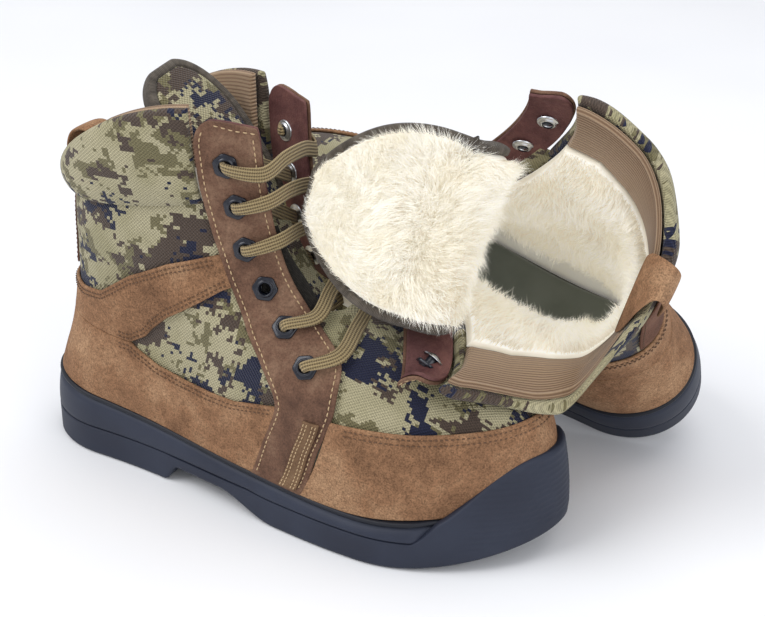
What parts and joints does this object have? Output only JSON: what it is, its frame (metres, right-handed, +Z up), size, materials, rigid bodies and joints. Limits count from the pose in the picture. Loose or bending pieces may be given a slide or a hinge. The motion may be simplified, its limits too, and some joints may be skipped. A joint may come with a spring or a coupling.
{
  "type": "boots",
  "caption": "Pair of insulated lace-up hunting boots with camouflage cloth, suede overlays, knit and fleece cuffs; one stands, one lies tipped with its tongue open",
  "frame": {"origin": "on the floor below the middle of the bounding box of the pair", "axes": "+X towards the toe of the standing boot and the long way of the pair, +Y across towards the far side, +Z up"},
  "size_m": [0.3377, 0.243, 0.2206],
  "materials": {
    "rubber_sole": "matte",
    "midsole_foam": "matte",
    "steel": "brushed",
    "board": "fibre board",
    "felt": "felt",
    "stiffener": "matte",
    "camouflage_cloth": "woven, printed in small squares",
    "fleece": "deep pile",
    "suede": "suede",
    "dark_suede": "suede",
    "nubuck": "nubuck",
    "strap_leather": "nubuck, stitched",
    "eyelet_metal": "gloss",
    "rib_knit": "ribbed knit",
    "binding_tape": "woven tape",
    "lace_braid": "flat braid"
  },
  "bodies": {
    "right_boot": {"right_outsole": "rubber_sole", "right_midsole": "midsole_foam", "right_shank": "steel", "right_insole_board": "board", "right_footbed": "felt", "right_heel_stiffener": "stiffener", "right_toe_puff": "stiffener", "right_vamp": "camouflage_cloth", "right_vamp_lining": "fleece", "right_toe_rand": "suede", "right_quarter": "camouflage_cloth", "right_heel_counter": "suede", "right_back_strip": "dark_suede", "right_collar_pad": "camouflage_cloth", "right_fleece_lining": "fleece", "right_knit_cuff": "rib_knit", "right_pull_tab": "suede", "right_facing_outer": "nubuck", "right_strap_outer": "strap_leather", "right_eyelets_outer": "eyelet_metal", "right_facing_inner": "nubuck", "right_strap_inner": "strap_leather", "right_eyelets_inner": "eyelet_metal", "right_lace": "lace_braid"},
    "right_tongue": {"right_tongue_shell": "camouflage_cloth", "right_tongue_fleece": "fleece", "right_tongue_binding": "binding_tape"},
    "left_boot": {"left_outsole": "rubber_sole", "left_midsole": "midsole_foam", "left_shank": "steel", "left_insole_board": "board", "left_footbed": "felt", "left_heel_stiffener": "stiffener", "left_toe_puff": "stiffener", "left_vamp": "camouflage_cloth", "left_vamp_lining": "fleece", "left_toe_rand": "suede", "left_quarter": "camouflage_cloth", "left_heel_counter": "suede", "left_back_strip": "dark_suede", "left_collar_pad": "camouflage_cloth", "left_fleece_lining": "fleece", "left_knit_cuff": "rib_knit", "left_pull_tab": "suede", "left_facing_outer": "nubuck", "left_strap_outer": "strap_leather", "left_eyelets_outer": "eyelet_metal", "left_facing_inner": "nubuck", "left_strap_inner": "strap_leather", "left_eyelets_inner": "eyelet_metal"},
    "left_tongue": {"left_tongue_shell": "camouflage_cloth", "left_tongue_fleece": "fleece", "left_tongue_binding": "binding_tape"}
  },
  "joints": [
    {"name": "right_tongue_swing", "type": "hinge", "parent": "right_boot", "child": "right_tongue", "pos_m": [0.0016, -0.0694, 0.106], "axis": [0, 1, 0], "range_deg": [-12, 3]},
    {"name": "left_boot_lift", "type": "slide", "parent": "right_boot", "child": "left_boot", "axis": [0, 0, 1], "range_m": [0, 0.3]},
    {"name": "left_tongue_swing", "type": "hinge", "parent": "left_boot", "child": "left_tongue", "pos_m": [0.0076, 0.0026, 0.132], "axis": [-0.1301, -0.7305, -0.6704], "range_deg": [-1, 2]}
  ]
}
